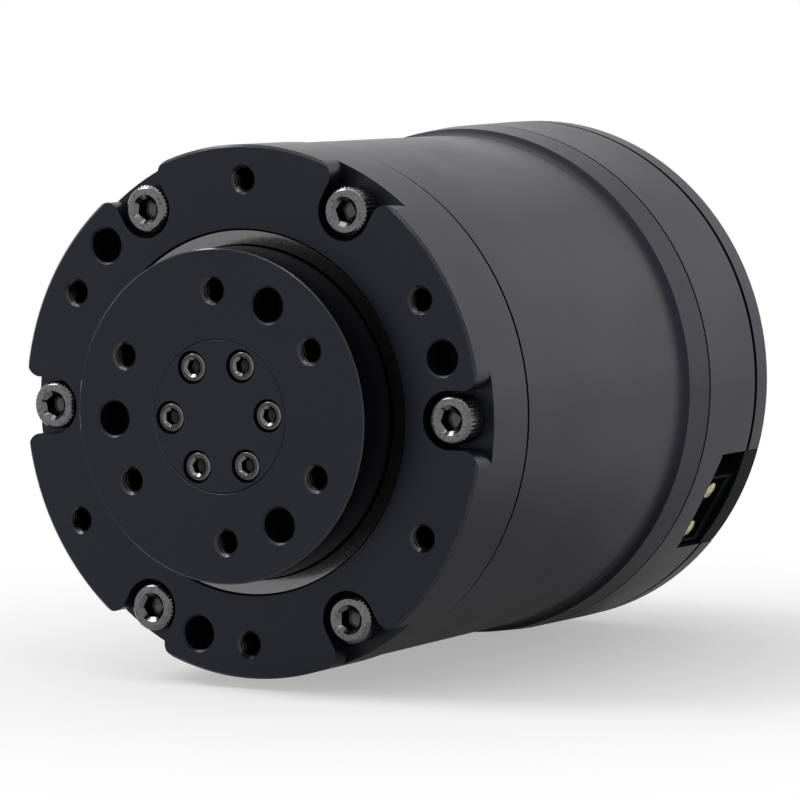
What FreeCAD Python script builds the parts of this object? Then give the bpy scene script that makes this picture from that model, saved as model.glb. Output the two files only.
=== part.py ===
"""Robot joint actuator: a motor, a two-stage planetary gear and an output bearing in a round housing.

Millimetres. The origin is the centre of the front flange's mounting face. Depth runs along +Y into
the body, the output faces -Y and +Z is up. Angles are seen from the front, anticlockwise from +X.
"""
import FreeCAD, Part
import math
import os
from FreeCAD import Vector

FRONT = Vector(0, -1, 0)
DEPTH = Vector(0, 1, 0)

# Gears
module = 1.0
pressure_angle = math.radians(25)
sun_teeth = 12
planet_teeth = 18
planet_count = 3
addendum = 0.92
dedendum = 1.2
tooth_thinning = 0.06
ring_rim = 2.3
output_face_width = 10.0
input_face_width = 6.0
first_planet_angle = 90.0

# Output bearing and seal
bearing_front = 3.5
bearing_width = 8.0
bearing_section = 9.5
bearing_shoulder = 2.2
bearing_ring_gap = 0.6
roller_diameter = 4.0
roller_shortness = 0.3
roller_clearance = 0.02
roller_count = 30
spigot_wall = 1.0
spigot_length = 2.4
seal_front = 0.3
seal_dish = 0.12
seal_chamfer = 0.12
seal_plate = 0.9
seal_wall = 0.8
seal_gap = 0.25
seal_lip_clearance = 0.05
seal_lip_taper = 0.45
seal_lip_spare = 0.3

# Output flange and its holes
disc_stand = 7.2
disc_gap = 2.3
output_angle = 2.7
output_hole_inset = 6.0
output_holes = 6
output_dowels = 3
cap_radius = 11.0
cap_thickness = 3.8
cap_screw_inset = 2.8
cap_screws = 6
cap_ledge = 5.4

# Mounting ring around the output
pocket_radius = 4.2
pocket_corner = 2.2
pocket_wall = 0.8
flange_screw_sink = 0.1
mount_screws = 6
mount_dowels = 3
mount_dowel_angle = 15.0
flange_margin = 5.0

# Holes shared by both faces
tapped_radius = 1.65
tapped_mouth = 2.1
tapped_depth = 9.0
dowel_radius = 2.5
dowel_mouth = 2.8
dowel_depth = 7.0

# Barrel, driver housing and rear cover
barrel_step = 0.2
barrel_length = 55.7
motor_wall = 5.8
band_rise = 1.7
band_taper = 0.7
rear_band_length = 5.8
cove_radius = 3.0
driver_length = 15.4
driver_taper = 0.25
driver_wall = 6.0
driver_lip_depth = 2.0
driver_lip_width = 4.0
cover_length = 4.8
cover_plate = 2.5
cover_spigot_length = 1.5
cover_spigot_width = 3.0
edge_chamfer = 0.4
cap_chamfer = 0.12

# Grooves that mark the seams between the housing's pieces
seam_depth = 0.6
flange_seam_width = 0.9
driver_seam_width = 0.45
cover_seam_width = 0.9

# Carriers and planet pins
output_pin_radius = 3.0
input_pin_radius = 2.0
output_pin_land = 3.5
input_pin_land = 2.5
output_carrier_thickness = 4.0
input_carrier_thickness = 3.0
carrier_screw_inset = 6.4
pin_head_rim = 1.2
pin_head_thickness = 0.6
planet_washer_gap = 0.3
pilot_radius = 2.5
pilot_bush_wall = 1.5
pilot_relief = 1.0
stage_gap = 0.6
running_clearance = 0.03

# Motor
web_thickness = 3.0
web_boss_wall = 2.5
rotor_bearing_bore = 5.0
rotor_bearing_outside = 9.5
rotor_bearing_width = 5.0
rotor_bearing_balls = 8
rotor_bearing_ball_radius = 1.4
rotor_bearing_ring_gap = 1.3
rotor_bearing_lip = 1.0
rotor_bearing_rim = 2.0
stator_step = 1.0
stator_yoke = 3.2
stator_teeth = 18
stator_tooth_width = 3.6
stator_shoe = 1.3
slot_opening = 1.5
end_turn = 3.2
end_turn_gap = 1.2
coil_thickness = 1.7
coil_corner = 1.5
coil_clearance = 0.4
air_gap = 0.6
magnet_thickness = 2.0
magnet_count = 20
magnet_fill = 0.9
rotor_rim = 2.2
rotor_web = 3.0
rotor_clearance = 3.8
shaft_shoulder = 1.0
sun_bore = 3.0
end_plate_thickness = 4.0
end_plate_step = 1.0
encoder_magnet_radius = 3.0
encoder_magnet_thickness = 2.0
encoder_gap = 0.8

# Driver board
board_gap = 5.9
board_thickness = 1.6
board_clearance = 1.0
standoff_inset = 6.5
standoff_radius = 2.5
standoff_count = 4
standoff_angle = 45.0
chip_height = 1.0
sensor_width = 5.0
mosfet_circle = 16.5
mosfet_count = 6
mosfet_width = 5.0
mosfet_length = 6.0
capacitor_circle = 19.0
capacitor_count = 4
capacitor_radius = 3.2
capacitor_height = 7.0
capacitor_pitch = 24.0
capacitor_angle = 112.0
processor_width = 9.0

# Connectors
slot_top_angle = -16.3
slot_low_angle = -40.9
slot_clearance = 0.15
slot_lead_in = 1.8
power_angle = -31.1
power_width = 12.2
power_depth = 11.0
power_recess = 0.12
power_face_depth = 1.2
power_cavity_wall = 0.4
power_cavity_depth = 7.5
power_cavity_length = 5.2
contact_pitch = 7.0
contact_radius = 1.35
contact_dome = 4.0
contact_stand = 0.3
contact_root = 1.0
signal_angle = -78.0
signal_circle = 24.0
signal_width = 9.5
signal_height = 5.0
signal_wall = 0.8
signal_recess = 1.0
signal_cavity_depth = 5.0
signal_pins = 4
signal_pin_pitch = 1.5
signal_pin_width = 0.5
signal_pin_length = 3.5
signal_pin_root = 1.0
window_clearance = 0.3

# Screws: shank radius, head radius, head height, key width across flats
m4 = {"shank": 2.0, "head": 3.5, "height": 4.0, "key": 3.0}
m3 = {"shank": 1.5, "head": 2.75, "height": 3.0, "key": 2.5}
m25 = {"shank": 1.25, "head": 2.25, "height": 2.5, "key": 2.0}
head_rim_share = 0.1
socket_share = 0.5
thread_core_share = 0.825
flange_screw_length = 20.0
cover_screw_length = 25.0
cover_screw_inset = 3.4
cover_screws = 6
carrier_screw_length = 8.0
cap_screw_length = 6.0
board_screw_length = 4.5
hole_clearance = 0.15
head_clearance = 0.15
head_sink = 0.15
drill_point = 1.0

# Cuts run this far past the faces that they open
overcut = 1.0

# Radii that follow, from the gears outwards
pitch_per_tooth = module / 2
ring_teeth = sun_teeth + 2 * planet_teeth
planet_circle = (sun_teeth + planet_teeth) * pitch_per_tooth
ring_pitch_radius = ring_teeth * pitch_per_tooth
ring_outside = ring_pitch_radius + dedendum * module + ring_rim
bearing_outside = ring_outside + spigot_wall
bearing_bore = bearing_outside - bearing_section
roller_circle = (bearing_bore + bearing_outside) / 2
gap_radius = bearing_outside - bearing_shoulder
disc_radius = gap_radius - disc_gap
output_hole_radius = disc_radius - output_hole_inset
cap_screw_circle = cap_radius - cap_screw_inset
cap_hollow = cap_radius - cap_ledge
mount_radius = bearing_outside + pocket_wall + pocket_radius
flange_radius = mount_radius + flange_margin
barrel_radius = flange_radius - barrel_step
rear_band_radius = barrel_radius + band_rise
driver_bore = rear_band_radius - driver_wall
cover_screw_circle = rear_band_radius - cover_screw_inset
output_carrier_radius = planet_circle + output_pin_radius + output_pin_land
input_carrier_radius = planet_circle + input_pin_radius + input_pin_land
carrier_screw_circle = bearing_bore - carrier_screw_inset
rotor_bore = rotor_bearing_bore + shaft_shoulder
boss_radius = rotor_bearing_outside + web_boss_wall
shaft_hole = rotor_bearing_outside - rotor_bearing_rim
rotor_rim_inside = boss_radius + rotor_clearance
rotor_rim_outside = rotor_rim_inside + rotor_rim
magnet_outside = rotor_rim_outside + magnet_thickness
stator_bore = magnet_outside + air_gap
stator_radius = barrel_radius - motor_wall
end_plate_radius = stator_radius + end_plate_step
board_radius = driver_bore - board_clearance
standoff_circle = board_radius - standoff_inset
power_inner = rear_band_radius - power_depth
power_face = rear_band_radius - power_face_depth

# Depths that follow, from the front to the rear
pocket_depth = m4["height"] + flange_screw_sink
bearing_rear = bearing_front + bearing_width
flange_thickness = bearing_rear + spigot_length
output_carrier_rear = bearing_rear + output_carrier_thickness
output_gear_front = output_carrier_rear + planet_washer_gap
output_gear_rear = output_gear_front + output_face_width
output_pin_rear = output_gear_rear + planet_washer_gap + pin_head_thickness
input_carrier_front = output_pin_rear + stage_gap
input_carrier_rear = input_carrier_front + input_carrier_thickness
input_gear_front = input_carrier_rear + planet_washer_gap
input_gear_rear = input_gear_front + input_face_width
input_pin_rear = input_gear_rear + planet_washer_gap + pin_head_thickness
web_front = input_pin_rear + stage_gap
web_rear = web_front + web_thickness
front_bearing_front = web_front + rotor_bearing_lip
front_bearing_rear = front_bearing_front + rotor_bearing_width
barrel_rear = flange_thickness + barrel_length
rear_band_front = barrel_rear - rear_band_length
end_plate_front = barrel_rear - end_plate_thickness
rear_bearing_rear = barrel_rear - rotor_bearing_lip
rear_bearing_front = rear_bearing_rear - rotor_bearing_width
coil_front = web_rear + end_turn_gap
coil_rear = end_plate_front - end_turn_gap
stator_front = coil_front + end_turn
stator_rear = coil_rear - end_turn
board_front = barrel_rear + board_gap
board_rear = board_front + board_thickness
encoder_face = board_front - chip_height - encoder_gap
slot_front = board_rear
power_front = slot_front + slot_clearance
cover_front = barrel_rear + driver_length
body_rear = cover_front + cover_length


def polar(radius, angle, depth=0.0):
    """Point at a radius and an angle, at a depth."""
    return Vector(radius * math.cos(math.radians(angle)), depth, radius * math.sin(math.radians(angle)))


def turned(shape, angle):
    """Copy of a shape, turned about the axis."""
    copy = shape.copy()
    copy.rotate(Vector(), FRONT, angle)
    return copy


def moved(shape, offset):
    """Copy of a shape, moved by a vector."""
    copy = shape.copy()
    copy.translate(offset)
    return copy


def around(shape, count, start=0.0):
    """Copies of a shape, evenly spaced about the axis."""
    return [turned(shape, start + 360.0 * k / count) for k in range(count)]


def rod(radius, near, far, centre=Vector()):
    """Cylinder along the axis from one depth to another."""
    return Part.makeCylinder(radius, far - near, Vector(centre.x, near, centre.z), DEPTH)


def tube(outside, inside, near, far):
    """Ring about the axis."""
    return rod(outside, near, far).cut(rod(inside, near, far))


def cone(near_radius, far_radius, near, far, centre=Vector()):
    """Cone along the axis from one depth to another."""
    return Part.makeCone(near_radius, far_radius, far - near, Vector(centre.x, near, centre.z), DEPTH)


def lathe(*corners):
    """Solid turned about the axis. A corner is radius, depth and, for a bent side up to it, a midpoint."""
    points = [Vector(corner[0], corner[1], 0) for corner in corners]
    sides = []
    for k, corner in enumerate(corners):
        start, end = points[k - 1], points[k]
        if len(corner) == 3:
            sides.append(Part.Arc(start, Vector(corner[2][0], corner[2][1], 0), end).toShape())
        else:
            sides.append(Part.LineSegment(start, end).toShape())
    return Part.Face(Part.Wire(Part.__sortEdges__(sides))).revolve(Vector(), DEPTH, 360)


def sector(outside, inside, near, far, start, end):
    """Part of a ring between two angles."""
    front = [Vector(inside, near, 0), Vector(outside, near, 0)]
    rear = [Vector(outside, far, 0), Vector(inside, far, 0)]
    face = Part.Face(Part.makePolygon(front + rear + front[:1]))
    return turned(face.revolve(Vector(), FRONT, end - start), start)


def block(near, far, low, high, width, angle=0.0):
    """Box about the radius at an angle: from one radius to another and one depth to another."""
    box = Part.makeBox(high - low, far - near, width, Vector(low, near, -width / 2))
    return turned(box, angle)


def prism(outline, near, far):
    """Solid between two depths with an outline of (x, z) points."""
    points = [Vector(x, near, z) for x, z in outline]
    return Part.Face(Part.makePolygon(points + points[:1])).extrude(DEPTH * (far - near))


def hexagon(width, near, far):
    """Hexagonal prism on the axis, by its width across flats."""
    corners = ring_places(width / math.sqrt(3), 6, 30.0)
    return prism([(corner.x, corner.z) for corner in corners], near, far)


def cap_screw(size, top, length, centre, direction=1):
    """Socket-head cap screw. The direction is 1 where it points into the depth and -1 the other way."""
    under = size["height"]
    rim = head_rim_share * size["head"]
    head = lathe((0, 0), (size["head"] - rim, 0), (size["head"], rim), (size["head"], under), (0, under))
    head = head.cut(hexagon(size["key"], -overcut, socket_share * under))
    screw = head.fuse(rod(size["shank"], under, under + length)).removeSplitter()
    if direction < 0:
        screw.rotate(Vector(), Vector(0, 0, 1), 180)
    return moved(screw, Vector(centre.x, top, centre.z))


def holes(radius, mouth, depth, top, places):
    """Blind holes with a chamfered mouth, open towards the front."""
    chamfer = mouth - radius
    shapes = []
    for place in places:
        shapes.append(rod(radius, top - overcut, top + depth, place))
        shapes.append(cone(mouth + overcut, radius, top - overcut, top + chamfer, place))
    return shapes


def counterbores(size, top, bottom, places, sink):
    """Holes for cap screws whose heads lie in counterbores, open towards the front."""
    shapes = []
    for place in places:
        shapes.append(rod(size["shank"] + hole_clearance, top, bottom + overcut, place))
        shapes.append(rod(size["head"] + head_clearance, top - overcut, top + sink + size["height"], place))
    return shapes


def ring_places(radius, count, start=0.0):
    """Evenly spaced points on a circle."""
    return [polar(radius, start + 360.0 * k / count) for k in range(count)]


def involute(angle):
    """Involute function of a pressure angle."""
    return math.tan(angle) - angle


def toothed(teeth, tip, root, thinning, near, far, first_tooth):
    """Prism with an involute outline, whose first tooth is centred at an angle."""
    pitch_radius = teeth * pitch_per_tooth
    base = pitch_radius * math.cos(pressure_angle)
    half_pitch = math.pi / (2 * teeth) - thinning / (2 * pitch_radius) + involute(pressure_angle)

    def half_width(radius):
        return math.degrees(half_pitch - involute(math.acos(min(1.0, base / radius))))

    flank_start = max(base, root)
    flank_middle = (flank_start + tip) / 2
    edges = []
    for k in range(teeth):
        centre = first_tooth + 360.0 * k / teeth
        following = centre + 360.0 / teeth
        for side in (-1, 1):
            foot = polar(root, centre + side * half_width(flank_start), near)
            low = polar(flank_start, centre + side * half_width(flank_start), near)
            middle = polar(flank_middle, centre + side * half_width(flank_middle), near)
            high = polar(tip, centre + side * half_width(tip), near)
            if root < base:
                edges.append(Part.LineSegment(foot, low).toShape())
            edges.append(Part.Arc(low, middle, high).toShape())
        tip_side = half_width(tip)
        tip_ends = [polar(tip, centre + turn, near) for turn in (-tip_side, 0, tip_side)]
        edges.append(Part.Arc(*tip_ends).toShape())
        root_start = polar(root, centre + half_width(flank_start), near)
        root_end = polar(root, following - half_width(flank_start), near)
        root_middle = polar(root, (centre + following) / 2, near)
        edges.append(Part.Arc(root_start, root_middle, root_end).toShape())
    outline = Part.Wire(Part.__sortEdges__(edges))
    return Part.Face(outline).extrude(DEPTH * (far - near))


def gear(teeth, near, far, first_tooth=0.0):
    """External gear without its bore."""
    pitch_radius = teeth * pitch_per_tooth
    tip = pitch_radius + addendum * module
    root = pitch_radius - dedendum * module
    return toothed(teeth, tip, root, tooth_thinning, near, far, first_tooth)


def planet_phase(planet_angle):
    """Angle of a planet's tooth that meshes with a ring whose tooth space is centred at zero."""
    return planet_angle * (1 - ring_teeth / planet_teeth)


def sun_phase(planet_angle):
    """Angle of a sun's tooth that meshes with a planet at an angle."""
    return ((sun_teeth + ring_teeth) * planet_angle + 180.0 * (planet_teeth - 1)) / sun_teeth


def pocket():
    """Open screw pocket at angle zero, with rounded corners where it meets the rim."""
    far_corner = flange_radius - pocket_corner
    corner_z = pocket_radius + pocket_corner
    corner_x = math.sqrt(far_corner ** 2 - corner_z ** 2)
    rim_x = corner_x * flange_radius / far_corner
    rim_z = corner_z * flange_radius / far_corner
    bend = math.atan2(corner_z, corner_x) / 2 - math.pi / 4
    middle = Vector(corner_x + pocket_corner * math.cos(bend), 0, corner_z + pocket_corner * math.sin(bend))
    outer_x = flange_radius + pocket_corner

    def mirrored(point):
        return Vector(point.x, 0, -point.z)

    side = Vector(mount_radius, 0, pocket_radius)
    foot = Vector(corner_x, 0, pocket_radius)
    rim = Vector(rim_x, 0, rim_z)
    outer = Vector(outer_x, 0, rim_z)
    inner = Vector(mount_radius - pocket_radius, 0, 0)
    edges = [
        Part.Arc(mirrored(side), inner, side).toShape(),
        Part.LineSegment(side, foot).toShape(),
        Part.Arc(foot, middle, rim).toShape(),
        Part.LineSegment(rim, outer).toShape(),
        Part.LineSegment(outer, mirrored(outer)).toShape(),
        Part.LineSegment(mirrored(outer), mirrored(rim)).toShape(),
        Part.Arc(mirrored(rim), mirrored(middle), mirrored(foot)).toShape(),
        Part.LineSegment(mirrored(foot), mirrored(side)).toShape(),
    ]
    outline = Part.Face(Part.Wire(edges))
    return moved(outline.extrude(DEPTH * (pocket_depth + overcut)), FRONT * overcut)


def front_flange():
    """Fixed mounting ring that holds the output bearing."""
    body = lathe(
        (gap_radius + edge_chamfer / 2, 0),
        (flange_radius - edge_chamfer, 0),
        (flange_radius, edge_chamfer),
        (flange_radius, flange_thickness),
        (bearing_outside, flange_thickness),
        (bearing_outside, bearing_front),
        (gap_radius, bearing_front),
        (gap_radius, edge_chamfer / 2),
    )
    screw_places = ring_places(mount_radius, mount_screws)
    tapped_places = ring_places(mount_radius, mount_screws, 180.0 / mount_screws)
    dowel_places = ring_places(mount_radius, mount_dowels, mount_dowel_angle)
    cuts = around(pocket(), mount_screws)
    cuts += [rod(m4["shank"] + hole_clearance, 0, flange_thickness, place) for place in screw_places]
    cuts += holes(tapped_radius, tapped_mouth, tapped_depth, 0, tapped_places)
    cuts += holes(dowel_radius, dowel_mouth, dowel_depth, 0, dowel_places)
    return body.cut(cuts)


def flange_screws():
    """Screws that hold the front flange to the barrel."""
    places = ring_places(mount_radius, mount_screws)
    screws = [cap_screw(m4, flange_screw_sink, flange_screw_length, place) for place in places]
    return Part.makeCompound(screws)


def barrel_housing():
    """Main tube with the ring gear's seat, the bearing web, the motor bore and the larger rear band."""
    band_front_radius = rear_band_radius - band_taper
    rise = band_front_radius - barrel_radius
    cove_length = math.sqrt(cove_radius ** 2 - (cove_radius - rise) ** 2)
    cove_start = rear_band_front - cove_length
    half_bend = math.asin(cove_length / cove_radius) / 2
    cove_middle = (
        barrel_radius + cove_radius * (1 - math.cos(half_bend)),
        cove_start + cove_radius * math.sin(half_bend),
    )
    body = lathe(
        (ring_outside, bearing_rear),
        (bearing_outside - running_clearance, bearing_rear),
        (bearing_outside - running_clearance, flange_thickness),
        (barrel_radius - seam_depth, flange_thickness),
        (barrel_radius - seam_depth, flange_thickness + flange_seam_width),
        (barrel_radius, flange_thickness + flange_seam_width),
        (barrel_radius, cove_start),
        (band_front_radius, rear_band_front, cove_middle),
        (rear_band_radius - driver_taper, barrel_rear),
        (end_plate_radius, barrel_rear),
        (end_plate_radius, end_plate_front),
        (stator_radius, end_plate_front),
        (stator_radius, stator_front),
        (stator_radius - stator_step, stator_front),
        (stator_radius - stator_step, web_rear),
        (boss_radius, web_rear),
        (boss_radius, front_bearing_rear),
        (rotor_bearing_outside, front_bearing_rear),
        (rotor_bearing_outside, front_bearing_front),
        (shaft_hole, front_bearing_front),
        (shaft_hole, web_front),
        (ring_outside, web_front),
    )
    flange_screw_end = pocket_depth + flange_screw_length
    cover_screw_end = cover_screw_seat() - cover_screw_length
    cuts = []
    for place in ring_places(mount_radius, mount_screws):
        cuts.append(rod(m4["shank"], flange_thickness, flange_screw_end, place))
        core = thread_core_share * m4["shank"]
        cuts.append(cone(core, 0, flange_screw_end, flange_screw_end + drill_point, place))
    for place in ring_places(cover_screw_circle, cover_screws):
        cuts.append(rod(m25["shank"], cover_screw_end, barrel_rear, place))
        core = thread_core_share * m25["shank"]
        cuts.append(cone(0, core, cover_screw_end - drill_point, cover_screw_end, place))
    return body.cut(cuts)


def cover_screw_seat():
    """Depth of the face under the heads of the cover screws."""
    return body_rear - head_sink - m25["height"]


def bearing_groove(inward):
    """Corner points of the V groove in one ring of the output bearing, from front to rear."""
    middle = (bearing_front + bearing_rear) / 2
    reach = math.sqrt(2) * (roller_diameter / 2 + roller_clearance)
    edge = bearing_ring_gap / 2
    side = -1 if inward else 1
    return [
        (roller_circle + side * edge, middle - reach + edge),
        (roller_circle + side * reach, middle),
        (roller_circle + side * edge, middle + reach - edge),
    ]


def bearing_outer_ring():
    """Fixed ring of the crossed-roller bearing."""
    inside = roller_circle + bearing_ring_gap / 2
    return lathe(
        (bearing_outside, bearing_front),
        (inside, bearing_front),
        *bearing_groove(False),
        (inside, bearing_rear),
        (bearing_outside, bearing_rear),
    )


def bearing_inner_ring():
    """Turning ring of the crossed-roller bearing."""
    outside = roller_circle - bearing_ring_gap / 2
    return lathe(
        (bearing_bore, bearing_front),
        (outside, bearing_front),
        *bearing_groove(True),
        (outside, bearing_rear),
        (bearing_bore, bearing_rear),
    )


def bearing_rollers():
    """Rollers, each crossed against the next one."""
    length = roller_diameter - roller_shortness
    middle = (bearing_front + bearing_rear) / 2
    rollers = []
    for k in range(roller_count):
        lean = Vector(1, 1 if k % 2 else -1, 0).normalize()
        start = Vector(roller_circle, middle, 0) - lean * (length / 2)
        roller = Part.makeCylinder(roller_diameter / 2, length, start, lean)
        rollers.append(turned(roller, 360.0 * k / roller_count))
    return Part.makeCompound(rollers)


def output_seal():
    """Metal case of the output seal: a wall in the flange's bore and a slightly dished front plate."""
    inside = disc_radius + seal_gap
    plate_rear = seal_front + seal_plate
    return lathe(
        (gap_radius, bearing_front),
        (gap_radius, seal_front + seal_chamfer),
        (gap_radius - seal_chamfer, seal_front),
        (inside, seal_front + seal_dish),
        (inside, plate_rear),
        (gap_radius - seal_wall, plate_rear),
        (gap_radius - seal_wall, bearing_front),
    )


def seal_lip():
    """Rubber lip that runs on the output flange."""
    outside = gap_radius - seal_wall
    inside = disc_radius + seal_lip_clearance
    front = seal_front + seal_plate
    rear = bearing_front - seal_lip_spare
    return lathe(
        (outside, front),
        (outside, rear),
        (inside, rear - seal_lip_taper),
        (inside, front + seal_lip_taper),
    )


def output_flange():
    """Turning disc with its hub in the output bearing."""
    body = lathe(
        (0, -disc_stand),
        (disc_radius - edge_chamfer / 2, -disc_stand),
        (disc_radius, edge_chamfer / 2 - disc_stand),
        (disc_radius, bearing_front),
        (bearing_bore, bearing_front),
        (bearing_bore, bearing_rear),
        (0, bearing_rear),
    )
    cap_floor = cap_thickness - disc_stand
    cap_mouth = cap_radius + cap_chamfer
    cuts = [
        rod(cap_radius, -disc_stand - overcut, cap_floor),
        cone(cap_mouth + overcut, cap_radius, -disc_stand - overcut, cap_chamfer - disc_stand),
        rod(cap_hollow, cap_floor, bearing_front),
        rod(pilot_radius + pilot_relief, bearing_front, bearing_rear + overcut),
    ]
    cuts += holes(tapped_radius, tapped_mouth, tapped_depth, -disc_stand,
                  ring_places(output_hole_radius, output_holes, 180.0 / output_holes))
    cuts += holes(dowel_radius, dowel_mouth, dowel_depth, -disc_stand,
                  ring_places(output_hole_radius, output_dowels, 180.0 / output_dowels))
    thread_end = cap_screw_top() + m25["height"] + cap_screw_length
    for place in ring_places(cap_screw_circle, cap_screws):
        cuts.append(rod(m25["shank"], cap_floor, thread_end, place))
    screw_end = carrier_screw_seat() - carrier_screw_length
    for place in ring_places(carrier_screw_circle, planet_count, carrier_screw_angle()):
        cuts.append(rod(m3["shank"], screw_end, bearing_rear, place))
    return turned(body.cut(cuts), output_angle)


def cap_screw_top():
    """Depth of the cap screws' heads."""
    return head_sink - disc_stand


def centre_cap():
    """Cap that closes the hollow of the output flange."""
    front = -disc_stand
    rear = front + cap_thickness
    body = lathe(
        (0, front),
        (cap_radius - cap_chamfer, front),
        (cap_radius, front + cap_chamfer),
        (cap_radius, rear),
        (0, rear),
    )
    places = ring_places(cap_screw_circle, cap_screws)
    return turned(body.cut(counterbores(m25, front, rear, places, head_sink)), output_angle)


def cap_screw_set():
    """Small screws of the centre cap."""
    places = ring_places(cap_screw_circle, cap_screws)
    screws = [cap_screw(m25, cap_screw_top(), cap_screw_length, place) for place in places]
    return turned(Part.makeCompound(screws), output_angle)


def carrier_screw_angle():
    """Angle of the first carrier screw, midway between two planets."""
    return first_planet_angle + 180.0 / planet_count


def carrier_screw_seat():
    """Depth of the face under the heads of the carrier screws."""
    return output_carrier_rear - head_sink - m3["height"]


def output_carrier():
    """Plate behind the output bearing that carries the output planets."""
    body = rod(output_carrier_radius, bearing_rear, output_carrier_rear)
    cuts = [rod(pilot_radius + pilot_bush_wall, bearing_rear, output_carrier_rear)]
    for place in ring_places(planet_circle, planet_count, first_planet_angle):
        cuts.append(rod(output_pin_radius, bearing_rear, output_carrier_rear, place))
    for place in ring_places(carrier_screw_circle, planet_count, carrier_screw_angle()):
        cuts.append(rod(m3["shank"] + hole_clearance, bearing_rear, output_carrier_rear, place))
        cuts.append(rod(m3["head"] + head_clearance, carrier_screw_seat(), output_carrier_rear, place))
    return turned(body.cut(cuts), output_angle)


def carrier_screws():
    """Screws that hold the output carrier to the output flange."""
    screws = []
    for place in ring_places(carrier_screw_circle, planet_count, carrier_screw_angle()):
        screws.append(cap_screw(m3, output_carrier_rear - head_sink, carrier_screw_length, place, -1))
    return turned(Part.makeCompound(screws), output_angle)


def pilot_bush():
    """Bush in the output carrier that guides the input carrier's sun shaft."""
    outside = pilot_radius + pilot_bush_wall
    return tube(outside, pilot_radius + running_clearance, bearing_rear, output_carrier_rear)


def planet_pins(radius, near, gear_rear, start):
    """Pins of one stage, each with a flat head behind its planet."""
    head = gear_rear + planet_washer_gap
    pins = []
    for place in ring_places(planet_circle, planet_count, start):
        pin = rod(radius, near, head, place)
        pins.append(pin.fuse(rod(radius + pin_head_rim, head, head + pin_head_thickness, place)))
    return Part.makeCompound(pins)


def planet(angle, bore, near, far):
    """Planet gear at an angle, in mesh with the ring gear."""
    centre = polar(planet_circle, angle)
    body = moved(gear(planet_teeth, near, far, planet_phase(angle)), centre)
    return body.cut(rod(bore + running_clearance, near, far, centre))


def ring_gear():
    """Internal gear shared by both stages."""
    void_tip = ring_pitch_radius + dedendum * module
    void_root = ring_pitch_radius - addendum * module
    plain_end = output_gear_front - planet_washer_gap
    body = rod(ring_outside, bearing_rear, web_front)
    teeth = toothed(ring_teeth, void_tip, void_root, -tooth_thinning, plain_end, web_front, 0.0)
    return body.cut(teeth).cut(rod(void_tip, bearing_rear, plain_end))


def input_carrier():
    """Plate between the stages that carries the input planets."""
    body = rod(input_carrier_radius, input_carrier_front, input_carrier_rear)
    cuts = [rod(sun_bore, input_carrier_front, input_carrier_rear)]
    for place in ring_places(planet_circle, planet_count, first_planet_angle):
        cuts.append(rod(input_pin_radius, input_carrier_front, input_carrier_rear, place))
    return body.cut(cuts)


def output_sun_gear():
    """Sun gear of the output stage, with a pilot in front and a seat in the input carrier."""
    phase = sun_phase(first_planet_angle + output_angle)
    body = gear(sun_teeth, output_gear_front, input_carrier_front, phase)
    pilot = rod(pilot_radius, bearing_rear + stage_gap, output_gear_front)
    seat = rod(sun_bore, input_carrier_front, input_carrier_rear)
    return body.fuse([pilot, seat]).removeSplitter()


def input_sun_gear():
    """Sun gear on the motor shaft."""
    body = gear(sun_teeth, input_gear_front, input_gear_rear, sun_phase(first_planet_angle))
    return body.cut(rod(sun_bore, input_gear_front, input_gear_rear))


def rotor_shaft():
    """Motor shaft, from the input sun gear to the encoder magnet."""
    hub_front = front_bearing_rear
    hub_rear = rear_bearing_front
    return lathe(
        (0, input_gear_front),
        (sun_bore, input_gear_front),
        (sun_bore, front_bearing_front),
        (rotor_bearing_bore, front_bearing_front),
        (rotor_bearing_bore, hub_front),
        (rotor_bore, hub_front),
        (rotor_bore, hub_rear),
        (rotor_bearing_bore, hub_rear),
        (rotor_bearing_bore, barrel_rear),
        (encoder_magnet_radius, barrel_rear),
        (encoder_magnet_radius, encoder_face - encoder_magnet_thickness),
        (0, encoder_face - encoder_magnet_thickness),
    )


def encoder_magnet():
    """Round magnet on the end of the shaft."""
    return rod(encoder_magnet_radius, encoder_face - encoder_magnet_thickness, encoder_face)


def rotor_hub():
    """Steel rim for the magnets, on a web in the middle of the motor."""
    middle = (stator_front + stator_rear) / 2
    web_near = middle - rotor_web / 2
    web_far = middle + rotor_web / 2
    return lathe(
        (rotor_bore, web_near),
        (rotor_rim_inside, web_near),
        (rotor_rim_inside, stator_front),
        (rotor_rim_outside, stator_front),
        (rotor_rim_outside, stator_rear),
        (rotor_rim_inside, stator_rear),
        (rotor_rim_inside, web_far),
        (rotor_bore, web_far),
    )


def rotor_magnets():
    """Magnets around the rotor's rim."""
    span = 360.0 / magnet_count * magnet_fill
    magnet = sector(magnet_outside, rotor_rim_outside, stator_front, stator_rear, 0, span)
    return Part.makeCompound(around(magnet, magnet_count))


def rotor_bearing(near):
    """Outer ring, inner ring and balls of one rotor bearing."""
    far = near + rotor_bearing_width
    centre = (rotor_bearing_bore + rotor_bearing_outside) / 2
    middle = (near + far) / 2
    shoulder = rotor_bearing_ring_gap / 2
    groove_radius = rotor_bearing_ball_radius + running_clearance
    groove = Part.makeTorus(centre, groove_radius, Vector(0, middle, 0), DEPTH)
    outer = tube(rotor_bearing_outside, centre + shoulder, near, far).cut(groove)
    inner = tube(centre - shoulder, rotor_bearing_bore, near, far).cut(groove)
    ball = Part.makeSphere(rotor_bearing_ball_radius, Vector(centre, middle, 0))
    return outer, inner, Part.makeCompound(around(ball, rotor_bearing_balls))


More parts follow.
